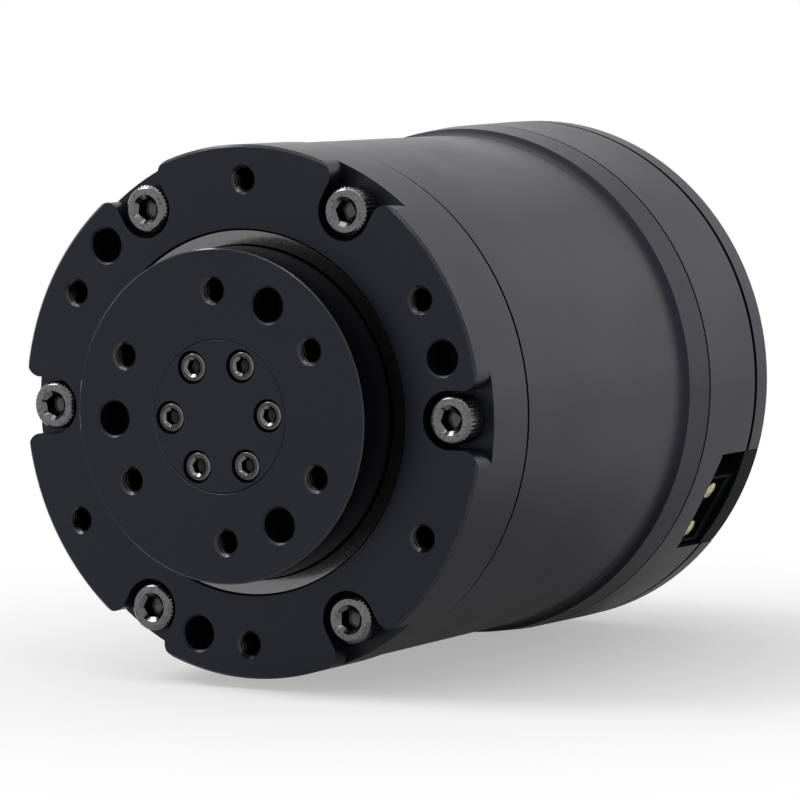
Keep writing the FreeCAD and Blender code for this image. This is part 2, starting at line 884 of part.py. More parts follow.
def stator_core():
    """Laminated core with its teeth."""
    core = tube(stator_radius, stator_bore, stator_front, stator_rear)
    half_tooth = stator_tooth_width / 2
    half_angle = math.pi / stator_teeth
    shoe_radius = stator_bore + stator_shoe
    yoke_radius = stator_radius - stator_yoke

    def slot_side(radius):
        return radius * math.tan(half_angle) - half_tooth / math.cos(half_angle)

    inner, outer = slot_side(shoe_radius), slot_side(yoke_radius)
    outline = [(shoe_radius, -inner), (yoke_radius, -outer), (yoke_radius, outer), (shoe_radius, inner)]
    slot = prism(outline, stator_front, stator_rear)
    opening = block(stator_front, stator_rear, stator_bore - overcut, shoe_radius, slot_opening)
    slots = around(slot, stator_teeth, 180.0 / stator_teeth)
    slots += around(opening, stator_teeth, 180.0 / stator_teeth)
    return core.cut(slots)


def stator_coils():
    """One coil around each tooth, with rounded outer corners."""
    low = stator_bore + stator_shoe + coil_clearance
    high = stator_radius - stator_yoke - coil_clearance
    outer = block(coil_front, coil_rear, low, high, stator_tooth_width + 2 * coil_thickness)
    corners = [edge for edge in outer.Edges if abs(edge.tangentAt(edge.FirstParameter).x) > 0.99]
    outer = outer.makeFillet(coil_corner, corners)
    coil = outer.cut(block(stator_front, stator_rear, low, high, stator_tooth_width))
    return Part.makeCompound(around(coil, stator_teeth))


def motor_end_plate():
    """Plate that closes the motor and holds the rear rotor bearing."""
    return lathe(
        (rotor_bearing_outside, rear_bearing_front),
        (boss_radius, rear_bearing_front),
        (boss_radius, end_plate_front),
        (end_plate_radius, end_plate_front),
        (end_plate_radius, barrel_rear),
        (shaft_hole, barrel_rear),
        (shaft_hole, rear_bearing_rear),
        (rotor_bearing_outside, rear_bearing_rear),
    )


def driver_housing():
    """Rear band around the driver board, with the connector slot."""
    lip_radius = driver_bore - driver_lip_width
    body = lathe(
        (lip_radius, barrel_rear),
        (rear_band_radius - seam_depth, barrel_rear),
        (rear_band_radius - seam_depth, barrel_rear + driver_seam_width),
        (rear_band_radius - driver_taper, barrel_rear + driver_seam_width),
        (rear_band_radius, cover_front),
        (driver_bore, cover_front),
        (driver_bore, barrel_rear + driver_lip_depth),
        (lip_radius, barrel_rear + driver_lip_depth),
    )
    cuts = [slot_sector(driver_bore - overcut, slot_front, cover_front + overcut), slot_flat()]
    for place in ring_places(cover_screw_circle, cover_screws):
        cuts.append(rod(m25["shank"] + hole_clearance, barrel_rear, cover_front, place))
    return body.cut(cuts)


def slot_sector(inside, near, far, outside=rear_band_radius + overcut, clearance=0.0):
    """Ring sector between the sides of the connector slot, or between planes inside them."""
    turn = math.degrees(clearance / rear_band_radius)
    return sector(outside, inside, near, far, slot_low_angle + turn, slot_top_angle - turn)


def slot_flat():
    """Cutter for the sloping flat that breaks the slot's front edge from corner to corner."""
    half_span = math.radians(slot_top_angle - slot_low_angle) / 2
    level = rear_band_radius * math.cos(half_span)
    rise = rear_band_radius - level
    reach = rear_band_radius * math.sin(half_span) + overcut
    near = slot_front - 2 * slot_lead_in
    cutter = Part.makeBox(rise + overcut, slot_front - near, 2 * reach, Vector(level, near, -reach))
    slope = math.degrees(math.atan2(rise, slot_lead_in))
    cutter.rotate(Vector(level, slot_front, 0), Vector(0, 0, 1), slope)
    return turned(cutter, (slot_top_angle + slot_low_angle) / 2)


def rear_cover():
    """Last ring and its plate, with a notch for the power connector and a window for the signal one."""
    seam_radius = rear_band_radius - seam_depth
    spigot_radius = driver_bore - running_clearance
    spigot_inside = spigot_radius - cover_spigot_width
    body = lathe(
        (0, body_rear - cover_plate),
        (spigot_inside, body_rear - cover_plate),
        (spigot_inside, cover_front - cover_spigot_length),
        (spigot_radius, cover_front - cover_spigot_length),
        (spigot_radius, cover_front),
        (seam_radius, cover_front),
        (seam_radius, cover_front + cover_seam_width),
        (rear_band_radius, cover_front + cover_seam_width),
        (rear_band_radius, body_rear - edge_chamfer),
        (rear_band_radius - edge_chamfer, body_rear),
        (0, body_rear),
    )
    cuts = [slot_sector(power_inner, cover_front - cover_spigot_length, body_rear)]
    for place in ring_places(cover_screw_circle, cover_screws):
        cuts.append(rod(m25["shank"] + hole_clearance, cover_front, body_rear, place))
        cuts.append(rod(m25["head"] + head_clearance, cover_screw_seat(), body_rear, place))
    low = signal_circle - signal_height / 2 - window_clearance
    high = signal_circle + signal_height / 2 + window_clearance
    width = signal_width + 2 * window_clearance
    cuts.append(block(body_rear - cover_plate, body_rear, low, high, width, signal_angle))
    return body.cut(cuts)


def cover_screw_set():
    """Long screws through the rear cover and the driver housing into the barrel."""
    top = body_rear - head_sink
    places = ring_places(cover_screw_circle, cover_screws)
    return Part.makeCompound([cap_screw(m25, top, cover_screw_length, place, -1) for place in places])


def board_places():
    """Centres of the driver board's stand-offs."""
    return ring_places(standoff_circle, standoff_count, standoff_angle)


def driver_board():
    """Round circuit board of the motor driver."""
    board = rod(board_radius, board_front, board_rear)
    cuts = [rod(m25["shank"], board_front, board_rear, place) for place in board_places()]
    return board.cut(cuts)


def board_standoffs():
    """Posts between the motor end plate and the driver board."""
    posts = []
    for place in board_places():
        post = rod(standoff_radius, barrel_rear, board_front, place)
        posts.append(post.cut(rod(m25["shank"], board_rear - board_screw_length, board_front, place)))
    return Part.makeCompound(posts)


def board_screws():
    """Screws that hold the driver board."""
    top = board_rear + m25["height"]
    screws = [cap_screw(m25, top, board_screw_length, place, -1) for place in board_places()]
    return Part.makeCompound(screws)


def board_mosfets():
    """Power transistors on the motor side of the board."""
    near, far = board_front - chip_height, board_front
    low = mosfet_circle - mosfet_length / 2
    chip = block(near, far, low, low + mosfet_length, mosfet_width)
    return Part.makeCompound(around(chip, mosfet_count))


def board_capacitors():
    """Round capacitors on the rear side of the board."""
    cans = []
    for k in range(capacitor_count):
        place = polar(capacitor_circle, capacitor_angle + capacitor_pitch * k)
        cans.append(rod(capacitor_radius, board_rear, board_rear + capacitor_height, place))
    return Part.makeCompound(cans)


def board_processor():
    """Controller chip on the rear side of the board."""
    half = processor_width / 2
    return block(board_rear, board_rear + chip_height, -half, half, processor_width)


def encoder_sensor():
    """Angle sensor that faces the magnet on the shaft."""
    half = sensor_width / 2
    return block(board_front - chip_height, board_front, -half, half, sensor_width)


def power_connector():
    """Two-pole connector body that fills the slot, with its shell open to the side."""
    far = body_rear - slot_clearance
    outside = rear_band_radius - power_recess
    shell = block(power_front, cover_front, power_inner, power_face, power_width, power_angle)
    shell = shell.common(slot_sector(0, power_front, cover_front, outside, slot_clearance))
    foot = slot_sector(power_inner + slot_clearance, cover_front, far, outside, slot_clearance)
    cavity_near = power_front + power_cavity_wall
    cavity_width = power_width - 2 * power_cavity_wall
    cavity = block(cavity_near, cavity_near + power_cavity_length, power_face - power_cavity_depth,
                   rear_band_radius, cavity_width, power_angle)
    return shell.fuse(foot).cut([cavity] + contact_rods()).removeSplitter()


def contact_rods():
    """The two round contacts, from their roots in the connector to their domed tips."""
    root = power_inner + contact_root
    depth = power_front + power_cavity_wall + contact_radius
    dome_centre = power_face + contact_stand - contact_dome
    dome_edge = math.acos(contact_radius / contact_dome)
    shoulder = dome_centre + contact_dome * math.sin(dome_edge)
    outward = Vector(1, 0, 0)
    rods = []
    for side in (-1, 1):
        offset = side * contact_pitch / 2
        pin = Part.makeCylinder(contact_radius, shoulder - root, Vector(root, depth, offset), outward)
        centre = Vector(dome_centre, depth, offset)
        tip = Part.makeSphere(contact_dome, centre, outward, math.degrees(dome_edge), 90, 360)
        rods.append(turned(pin.fuse(tip).removeSplitter(), power_angle))
    return rods


def power_contacts():
    """Round contacts of the power connector."""
    return Part.makeCompound(contact_rods())


def signal_connector():
    """Small connector body for the bus wires, open to the rear."""
    rear = body_rear - signal_recess
    low = signal_circle - signal_height / 2
    high = signal_circle + signal_height / 2
    body = block(board_rear, rear, low, high, signal_width, signal_angle)
    cavity = block(rear - signal_cavity_depth, rear, low + signal_wall, high - signal_wall,
                   signal_width - 2 * signal_wall, signal_angle)
    return body.cut([cavity] + signal_pin_bars())


def signal_pin_bars():
    """Contact pins of the signal connector, rooted in its floor."""
    floor = body_rear - signal_recess - signal_cavity_depth
    low = signal_circle - signal_pin_width / 2
    high = signal_circle + signal_pin_width / 2
    bars = []
    for k in range(signal_pins):
        offset = (k - (signal_pins - 1) / 2) * signal_pin_pitch
        bar = block(floor - signal_pin_root, floor + signal_pin_length, low, high, signal_pin_width)
        bars.append(turned(moved(bar, Vector(0, 0, offset)), signal_angle))
    return bars


def signal_contacts():
    """Contact pins of the signal connector."""
    return Part.makeCompound(signal_pin_bars())


def parts():
    """Every node of the part, by name."""
    front_outer, front_inner, front_balls = rotor_bearing(front_bearing_front)
    rear_outer, rear_inner, rear_balls = rotor_bearing(rear_bearing_front)
    input_start = first_planet_angle
    output_start = first_planet_angle + output_angle
    nodes = {
        "front_flange": front_flange(),
        "flange_screws": flange_screws(),
        "barrel_housing": barrel_housing(),
        "driver_housing": driver_housing(),
        "rear_cover": rear_cover(),
        "cover_screws": cover_screw_set(),
        "output_seal_case": output_seal(),
        "output_seal_lip": seal_lip(),
        "bearing_outer_ring": bearing_outer_ring(),
        "bearing_inner_ring": bearing_inner_ring(),
        "bearing_rollers": bearing_rollers(),
        "output_flange": output_flange(),
        "centre_cap": centre_cap(),
        "cap_screws": cap_screw_set(),
        "output_carrier": output_carrier(),
        "carrier_screws": carrier_screws(),
        "pilot_bush": pilot_bush(),
        "output_planet_pins": planet_pins(output_pin_radius, bearing_rear, output_gear_rear, output_start),
        "ring_gear": ring_gear(),
        "output_sun_gear": output_sun_gear(),
        "input_carrier": input_carrier(),
        "input_planet_pins": planet_pins(input_pin_radius, input_carrier_front, input_gear_rear, input_start),
        "input_sun_gear": input_sun_gear(),
        "rotor_shaft": rotor_shaft(),
        "rotor_hub": rotor_hub(),
        "rotor_magnets": rotor_magnets(),
        "encoder_magnet": encoder_magnet(),
        "front_rotor_bearing_outer": front_outer,
        "front_rotor_bearing_inner": front_inner,
        "front_rotor_bearing_balls": front_balls,
        "rear_rotor_bearing_outer": rear_outer,
        "rear_rotor_bearing_inner": rear_inner,
        "rear_rotor_bearing_balls": rear_balls,
        "stator_core": stator_core(),
        "stator_coils": stator_coils(),
        "motor_end_plate": motor_end_plate(),
        "driver_board": driver_board(),
        "board_standoffs": board_standoffs(),
        "board_screws": board_screws(),
        "board_mosfets": board_mosfets(),
        "board_capacitors": board_capacitors(),
        "board_processor": board_processor(),
        "encoder_sensor": encoder_sensor(),
        "power_connector": power_connector(),
        "power_contacts": power_contacts(),
        "signal_connector": signal_connector(),
        "signal_contacts": signal_contacts(),
    }
    output_gears = (output_pin_radius, output_gear_front, output_gear_rear)
    input_gears = (input_pin_radius, input_gear_front, input_gear_rear)
    for k in range(planet_count):
        step = 360.0 * k / planet_count
        nodes["output_planet_%d" % (k + 1)] = planet(output_start + step, *output_gears)
        nodes["input_planet_%d" % (k + 1)] = planet(input_start + step, *input_gears)
    return nodes


def main():
    """Write one STEP file for each node."""
    os.makedirs("parts", exist_ok=True)
    for name, shape in parts().items():
        shape.exportStep("parts/%s.step" % name)
        solids = len(shape.Solids)
        print("%-28s %3d solids %9.1f mm3  valid %s" % (name, solids, shape.Volume, shape.isValid()))


main()
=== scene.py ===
"""Looks of the robot joint actuator: materials, detailed screws and threads, stage and camera.

Metres, in the part's own frame: the output faces -Y, +Z is up, and angles are seen from the front,
anticlockwise from +X. Sizes are written in millimetres and turned into metres by MM.
"""
import math

import bmesh
import bpy
from mathutils import Matrix, Vector


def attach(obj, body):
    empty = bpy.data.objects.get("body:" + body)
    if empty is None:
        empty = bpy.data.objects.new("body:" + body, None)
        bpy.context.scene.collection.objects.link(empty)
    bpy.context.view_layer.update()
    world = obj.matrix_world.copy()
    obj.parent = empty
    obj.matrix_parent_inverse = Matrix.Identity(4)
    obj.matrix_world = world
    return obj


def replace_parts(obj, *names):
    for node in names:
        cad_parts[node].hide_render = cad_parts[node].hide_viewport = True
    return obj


MM = 0.001
HOLES = 6                   # screws or tapped holes in each ring
HOLE_STEP = 360.0 / HOLES
WHITE = (1.0, 1.0, 1.0, 1.0)

# Rings of tapped holes: radius of the circle, angle of the first hole, depth of the face
FLANGE_TAPS = (33.5, 30.0, 0.0)
DISC_TAPS = (18.0, 32.7, -7.2)

# Turned rims that are polished: radius, depth, reach of the polish
FLANGE_RIM = (38.3, 0.2, 0.3)
DISC_RIM = (23.9, -7.1, 0.25)
CAP_SEAT_RIM = (11.06, -7.14, 0.12)
# Radius from which outward the disc's side wall gets painted shade: a darker, duller black
DISC_PAINTED_SHADE_WALL = 23.98

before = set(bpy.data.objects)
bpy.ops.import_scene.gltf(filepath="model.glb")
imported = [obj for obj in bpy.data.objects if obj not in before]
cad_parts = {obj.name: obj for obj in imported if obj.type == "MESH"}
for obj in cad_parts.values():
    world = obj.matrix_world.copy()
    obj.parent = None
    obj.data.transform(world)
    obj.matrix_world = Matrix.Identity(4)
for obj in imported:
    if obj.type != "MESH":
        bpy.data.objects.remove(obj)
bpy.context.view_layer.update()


# Shader nodes

def add_node(tree, kind, *inputs, **settings):
    """New node in a tree, with outputs or values for its first inputs."""
    made = tree.nodes.new(kind)
    for name, value in settings.items():
        setattr(made, name, value)
    for k, value in enumerate(inputs):
        if isinstance(value, bpy.types.NodeSocket):
            tree.links.new(value, made.inputs[k])
        else:
            made.inputs[k].default_value = value
    return made


def add_math(tree, operation, *inputs, **settings):
    """Result of a Math node."""
    return add_node(tree, "ShaderNodeMath", *inputs, operation=operation, **settings).outputs[0]


def add_range(tree, value, low, high, new_low=0.0, new_high=1.0, smooth=False):
    """A value mapped from one range to another, and kept inside it."""
    kind = "SMOOTHSTEP" if smooth else "LINEAR"
    return add_node(tree, "ShaderNodeMapRange", value, low, high, new_low, new_high,
                    interpolation_type=kind).outputs["Result"]


class Shader:
    """A material with one Principled shader and short ways to feed its sockets."""

    def __init__(self, name, color, roughness, **sockets):
        self.material = bpy.data.materials.new(name)
        self.material.use_nodes = True
        self.tree = self.material.node_tree
        self.surface = self.tree.nodes["Principled BSDF"]
        self.set("Base Color", (*color, 1.0))
        self.set("Roughness", roughness)
        for socket, value in sockets.items():
            self.set(socket.replace("_", " "), value)
        self.place = self.node("ShaderNodeTexCoord").outputs["Object"]
        self.axes = self.node("ShaderNodeSeparateXYZ", self.place).outputs

    def set(self, socket, value):
        """Give one of the shader's own sockets a value."""
        self.surface.inputs[socket].default_value = value

    def feed(self, socket, output):
        """Link an output to one of the shader's sockets."""
        self.tree.links.new(output, self.surface.inputs[socket])

    def node(self, kind, *inputs, **settings):
        """New node of this material."""
        return add_node(self.tree, kind, *inputs, **settings)

    def math(self, operation, *inputs):
        """Result of a Math node."""
        return add_math(self.tree, operation, *inputs)

    def range(self, value, low, high, new_low=0.0, new_high=1.0, smooth=False):
        """A value mapped from one range to another, and kept inside it."""
        return add_range(self.tree, value, low, high, new_low, new_high, smooth)

    def length(self, across, along):
        """Length of two sides at a right angle."""
        return self.math("SQRT", self.math("ADD", self.math("MULTIPLY", across, across),
                                           self.math("MULTIPLY", along, along)))

    def radius(self):
        """Distance from the actuator's axis."""
        flat = self.node("ShaderNodeVectorMath", self.place, (1.0, 0.0, 1.0),
                         operation="MULTIPLY").outputs[0]
        return self.node("ShaderNodeVectorMath", flat, operation="LENGTH").outputs["Value"]

    def rim_distance(self, rim_radius, rim_depth):
        """Distance from a turned rim."""
        return self.length(self.math("SUBTRACT", self.radius(), rim_radius * MM),
                           self.math("SUBTRACT", self.axes["Y"], rim_depth * MM))

    def hole_distance(self, circle, start):
        """Distance from the nearest axis of six holes on a circle."""
        turn = self.math("ARCTAN2", self.axes["Z"], self.axes["X"])
        beside = self.math("PINGPONG", self.math("SUBTRACT", turn, math.radians(start)),
                           math.radians(HOLE_STEP / 2))
        flat = self.radius()
        ahead = self.math("MULTIPLY", flat, self.math("COSINE", beside))
        return self.length(self.math("MULTIPLY", flat, self.math("SINE", beside)),
                           self.math("SUBTRACT", ahead, circle * MM))

    def noise(self, scale, detail, vector=None):
        """Noise from 0 to 1, over the object's space or along another vector."""
        made = self.node("ShaderNodeTexNoise", self.place if vector is None else vector)
        made.inputs["Scale"].default_value = scale
        made.inputs["Detail"].default_value = detail
        return made.outputs["Fac"]

    def blend(self, factor, first, second):
        """Colour between two colours."""
        made = self.node("ShaderNodeMix", data_type="RGBA")
        self.tree.links.new(factor, made.inputs["Factor"])
        for name, value in (("A", first), ("B", second)):
            socket = [s for s in made.inputs if s.name == name and s.type == "RGBA"][0]
            if isinstance(value, bpy.types.NodeSocket):
                self.tree.links.new(value, socket)
            else:
                socket.default_value = (*value, 1.0)
        return [s for s in made.outputs if s.type == "RGBA"][0]

    def bump(self, height, distance):
        """Bump the surface by a height from 0 to 1 times a distance in millimetres."""
        made = self.node("ShaderNodeBump")
        made.inputs["Distance"].default_value = distance * MM
        self.tree.links.new(height, made.inputs["Height"])
        last = self.surface.inputs["Normal"].links
        if last:
            self.tree.links.new(last[0].from_socket, made.inputs["Normal"])
        self.feed("Normal", made.outputs["Normal"])


def scaled(color, share):
    """A darker or lighter copy of a colour."""
    return [share * c for c in color]


# Materials

BLACK = (0.0036, 0.0042, 0.0076)
VIOLET_BLACK = (0.0039, 0.0038, 0.0090)
POLISHED = (0.050, 0.050, 0.052)
SHEEN = 0.27
SHEEN_TINT = (0.88, 0.90, 1.0, 1.0)
SATIN = 0.32
SATIN_CLOUDS = (0.30, 0.38)
POLISH_GLOSS = 0.20         # taken from the roughness where the metal is polished
CLOUD_SCALE = 55.0
CLOUD_SHARE = 1.18
WORN_SCALE = 260.0
RIM_CORE = 0.3              # share of a rim's reach that is polished in full
MOUTH_RADIUS = (2.12, 2.2)  # the polish in a tapped hole's mouth fades between these radii
MOUTH_TOP = (0.03, 0.08)    # it starts between these depths below the face
MOUTH_END = (0.5, 0.9)      # and ends between these
# Painted shade on the disc's side wall: its specular level, its share of the black, and its fade
# in millimetres
PAINTED_SHADE_SHEEN = 0.05
PAINTED_SHADE_SHARE = 0.3
PAINTED_SHADE_FADE = 0.04
LATHE_PITCH = 0.12
LATHE_HEIGHT = 0.0012
GRAIN_SCALE = 9000.0
GRAIN_HEIGHT = 0.0015

GRIME_SHARE = 0.35
SCRATCH_SCALE = 2500.0
PLASTIC_CLOUD_SCALE = 140.0
PLASTIC_GRAIN_SCALE = 4500.0
PLASTIC_GRAIN_HEIGHT = 0.006


def polished_places(shader, rims, mouths):
    """Factors that are 1 at each polished rim and in each ring of tapped holes' mouths."""
    places = []
    for rim_radius, rim_depth, reach in rims:
        gap = shader.rim_distance(rim_radius, rim_depth)
        places.append(shader.range(gap, RIM_CORE * reach * MM, reach * MM, 1.0, 0.0, smooth=True))
    depth = shader.axes["Y"]
    for circle, start, face in mouths:
        top, full = (face + MOUTH_TOP[0]) * MM, (face + MOUTH_TOP[1]) * MM
        fading, end = (face + MOUTH_END[0]) * MM, (face + MOUTH_END[1]) * MM
        around = shader.range(shader.hole_distance(circle, start),
                              MOUTH_RADIUS[0] * MM, MOUTH_RADIUS[1] * MM, 1.0, 0.0)
        deep = shader.math("MULTIPLY", shader.range(depth, top, full),
                           shader.range(depth, fading, end, 1.0, 0.0))
        places.append(shader.math("MULTIPLY", around, deep))
    return places


def turning_lines(shader, face):
    """Fine lathe lines: rings on a face, or hoops around a barrel."""
    along = shader.radius() if face else shader.axes["Y"]
    line = shader.node("ShaderNodeCombineXYZ", along, 0.0, 0.0).outputs[0]
    return shader.noise(1.0 / (LATHE_PITCH * MM), 3.0, line)


def anodised(name, face, rims=(), mouths=(), wall=None, color=BLACK):
    """Satin black anodised aluminium, polished at turned rims and at the mouths of tapped holes.

    A wall is the radius from which outward the metal is painted darker and duller: painted shade
    on a side wall.
    """
    shader = Shader(name, color, SATIN, Specular_IOR_Level=SHEEN, Specular_Tint=SHEEN_TINT)
    cloud = shader.noise(CLOUD_SCALE, 4.0)
    tint = shader.blend(shader.range(cloud, 0.35, 0.65), color, scaled(color, CLOUD_SHARE))
    rough = shader.range(cloud, 0.3, 0.7, *SATIN_CLOUDS)
    places = polished_places(shader, rims, mouths)
    if places:
        polish = places[0]
        for place in places[1:]:
            polish = shader.math("MAXIMUM", polish, place)
        worn = shader.range(shader.noise(WORN_SCALE, 5.0), 0.38, 0.66, 0.6, 1.0)
        polish = shader.math("MULTIPLY", polish, worn)
        tint = shader.blend(polish, tint, POLISHED)
        shader.feed("Metallic", polish)
        rough = shader.math("SUBTRACT", rough, shader.math("MULTIPLY", polish, POLISH_GLOSS))
    # Painted shade: outside the wall's radius the black is darker and its specular level lower
    if wall:
        painted_shade = shader.range(shader.radius(), (wall - PAINTED_SHADE_FADE) * MM, wall * MM)
        shader.feed("Specular IOR Level", shader.range(painted_shade, 0.0, 1.0, SHEEN, PAINTED_SHADE_SHEEN))
        tint = shader.blend(painted_shade, tint, scaled(color, PAINTED_SHADE_SHARE))
    shader.feed("Base Color", tint)
    shader.feed("Roughness", rough)
    shader.bump(turning_lines(shader, face), LATHE_HEIGHT)
    shader.bump(shader.noise(GRAIN_SCALE, 2.0), GRAIN_HEIGHT)
    return shader.material


def steel(name, color, roughness, grime=0.5, dents=0.003, patches=900.0):
    """Bare metal with fine scratches, grime in patches and dents of a depth in millimetres."""
    shader = Shader(name, color, roughness, Metallic=1.0)
    patch = shader.range(shader.noise(patches, 5.0), 0.50, 0.72, smooth=True)
    dirty = shader.math("MULTIPLY", patch, grime)
    shader.feed("Base Color", shader.blend(dirty, color, scaled(color, GRIME_SHARE)))
    scratch = shader.noise(SCRATCH_SCALE, 4.0)
    rough = shader.range(scratch, 0.3, 0.7, roughness - 0.06, roughness + 0.10)
    shader.feed("Roughness", rough)
    shader.bump(scratch, dents)
    return shader.material


def moulded(name, color, roughness, specular=0.4):
    """Moulded plastic with a fine spark-eroded grain."""
    shader = Shader(name, color, roughness, Specular_IOR_Level=specular)
    cloud = shader.noise(PLASTIC_CLOUD_SCALE, 3.0)
    shader.feed("Base Color", shader.blend(cloud, scaled(color, 0.85), scaled(color, 1.15)))
    shader.bump(shader.noise(PLASTIC_GRAIN_SCALE, 3.0), PLASTIC_GRAIN_HEIGHT)
    return shader.material


def layered(name, color, roughness, scale, colors, height, distortion=0.0):
    """Metal in fine layers across the axis, such as wound wire or a stack of sheets."""
    shader = Shader(name, color, roughness, Metallic=1.0)
    wave = shader.node("ShaderNodeTexWave", shader.place, bands_direction="Y")
    wave.inputs["Scale"].default_value = scale
    wave.inputs["Distortion"].default_value = distortion
    shader.feed("Base Color", shader.blend(wave.outputs["Fac"], *colors))
    shader.bump(wave.outputs["Fac"], height)
    return shader.material


def circuit_board(name):
    """Green solder mask over faint copper tracks."""
    shader = Shader(name, (0.02, 0.085, 0.04), 0.32, Specular_IOR_Level=0.5)
    cells = shader.node("ShaderNodeTexVoronoi", shader.place, feature="DISTANCE_TO_EDGE")
    cells.inputs["Scale"].default_value = 320.0
    track = shader.range(cells.outputs["Distance"], 0.03, 0.09, 1.0, 0.0)
    shader.feed("Base Color", shader.blend(track, (0.012, 0.060, 0.028), (0.035, 0.125, 0.060)))
    shader.bump(track, 0.03)
    return shader.material


def rubber(name):
    """Black seal rubber with a dull bloom."""
    shader = Shader(name, (0.010, 0.010, 0.011), 0.55, Specular_IOR_Level=0.35)
    bloom = shader.noise(700.0, 4.0)
    shader.feed("Base Color", shader.blend(bloom, (0.007, 0.007, 0.008), (0.020, 0.020, 0.021)))
    shader.bump(bloom, 0.01)
    return shader.material


def dress(material, *nodes):
    """Give CAD nodes a material, in every slot that they have."""
    for name in nodes:
        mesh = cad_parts[name].data
        if not mesh.materials:
            mesh.materials.append(material)
        for k in range(len(mesh.materials)):
            mesh.materials[k] = material


dress(anodised("flange_black", True, (FLANGE_RIM,), (FLANGE_TAPS,)), "front_flange")
# The disc's side wall carries painted shade
dress(anodised("disc_black_painted_shade", True, (DISC_RIM, CAP_SEAT_RIM), (DISC_TAPS,), DISC_PAINTED_SHADE_WALL),
      "output_flange")
dress(anodised("cap_black", True), "centre_cap")
dress(anodised("barrel_black", False, color=VIOLET_BLACK), "barrel_housing")
dress(anodised("driver_black", False, color=VIOLET_BLACK), "driver_housing")
dress(anodised("cover_black", True, color=VIOLET_BLACK), "rear_cover")
dress(steel("seal_steel", (0.16, 0.16, 0.165), 0.14, grime=0.1, dents=0.0005),
      "output_seal_case")
dress(rubber("seal_rubber"), "output_seal_lip")

bearing_steel = steel("bearing_steel", (0.52, 0.52, 0.53), 0.16, grime=0.1)
dress(bearing_steel, "bearing_outer_ring", "bearing_inner_ring", "bearing_rollers")
for end in ("front", "rear"):
    for piece in ("outer", "inner", "balls"):
        dress(bearing_steel, "%s_rotor_bearing_%s" % (end, piece))
gear_steel = steel("gear_steel", (0.30, 0.30, 0.32), 0.34)
dress(gear_steel, "ring_gear", "output_sun_gear", "input_sun_gear")
for k in (1, 2, 3):
    dress(gear_steel, "output_planet_%d" % k, "input_planet_%d" % k)
dress(steel("turned_steel", (0.42, 0.42, 0.43), 0.28), "output_carrier", "input_carrier",
      "output_planet_pins", "input_planet_pins", "rotor_shaft", "rotor_hub")
dress(steel("sintered_bronze", (0.46, 0.29, 0.12), 0.45), "pilot_bush")
dress(steel("magnet_nickel", (0.45, 0.44, 0.41), 0.22, grime=0.2),
      "rotor_magnets", "encoder_magnet")
dress(layered("lamination_steel", (0.17, 0.17, 0.18), 0.42, 450.0,
              ((0.07, 0.07, 0.075), (0.22, 0.22, 0.23)), 0.05), "stator_core")
dress(layered("copper_winding", (0.45, 0.16, 0.05), 0.28, 1100.0,
              ((0.16, 0.05, 0.02), (0.52, 0.20, 0.07)), 0.12, 0.6), "stator_coils")
dress(steel("bare_aluminium", (0.60, 0.60, 0.61), 0.34, grime=0.1),
      "motor_end_plate", "board_capacitors")
dress(circuit_board("board_green"), "driver_board")
dress(moulded("chip_black", (0.018, 0.018, 0.019), 0.45),
      "board_mosfets", "board_processor", "encoder_sensor")
dress(steel("standoff_brass", (0.60, 0.45, 0.18), 0.30, grime=0.2), "board_standoffs")
dress(moulded("connector_black", (0.0052, 0.0060, 0.0062), 0.50, specular=0.035),
      "power_connector")
dress(moulded("connector_natural", (0.60, 0.58, 0.52), 0.42), "signal_connector")
dress(steel("contact_gold", (0.80, 0.70, 0.44), 0.16, grime=1.0, dents=0.30, patches=1900.0),
      "power_contacts", "signal_contacts")

dark_steel = steel("screw_dark_steel", (0.055, 0.055, 0.058), 0.28, grime=0.4)
dress(dark_steel, "cap_screws", "cover_screws", "carrier_screws", "board_screws")
bright_steel = steel("screw_bright_steel", (0.15, 0.15, 0.155), 0.22,
                     grime=1.0, dents=0.02, patches=2600.0)
dress(bright_steel, "flange_screws")
bright_edge = steel("screw_bright_edge", (0.13, 0.13, 0.135), 0.18, dents=0.010)
# Painted highlight: the dark screws' rims and socket lead-ins are much lighter than their heads
dark_painted_highlight_edge = steel("screw_dark_painted_highlight_edge", (0.15, 0.15, 0.153), 0.18)
# Painted shade: the sockets and their floors are darker than the screw heads
painted_shade_socket_steel = steel("screw_socket_painted_shade_steel", (0.025, 0.025, 0.026), 0.30)
painted_shade_point_steel = steel("screw_point_painted_shade_steel", (0.065, 0.065, 0.067), 0.16, grime=0.4)
# Painted shade: the tapped aluminium threads are near-black to stand in for the shade inside the
# holes
painted_shade_thread_metal = steel("thread_aluminium_painted_shade", (0.038, 0.038, 0.040), 0.15, grime=0.6)


# Detailed pieces

def polar(radius, turn, depth):
    """Place at a radius, a turn in radians and a depth, in metres."""
    return Vector((radius * math.cos(turn), depth, radius * math.sin(turn))) * MM


def seat(radius, angle, depth):
    """Matrix of a hole's mouth: its own axis along the depth, at a radius and an angle."""
    return Matrix.Translation(polar(radius, math.radians(angle), depth))


def finish_mesh(name, mesh_maker, materials, body, sharp_angle=32.0):
    """Object from a bmesh, with smooth faces and sharp edges, riding on a body."""
    mesh = bpy.data.meshes.new(name)
    bmesh.ops.recalc_face_normals(mesh_maker, faces=mesh_maker.faces)
    mesh_maker.to_mesh(mesh)
    mesh_maker.free()
    mesh.shade_smooth()
    mesh.set_sharp_from_angle(angle=math.radians(sharp_angle))
    for material in materials:
        mesh.materials.append(material)
    made = bpy.data.objects.new(name, mesh)
    bpy.context.scene.collection.objects.link(made)
    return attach(made, body)


def ring(mesh, matrix, depth, radii, start):
    """Closed row of vertices at one depth, with one radius for each vertex."""
    return [mesh.verts.new(matrix @ polar(radius, 2 * math.pi * k / len(radii) + start, depth))
            for k, radius in enumerate(radii)]


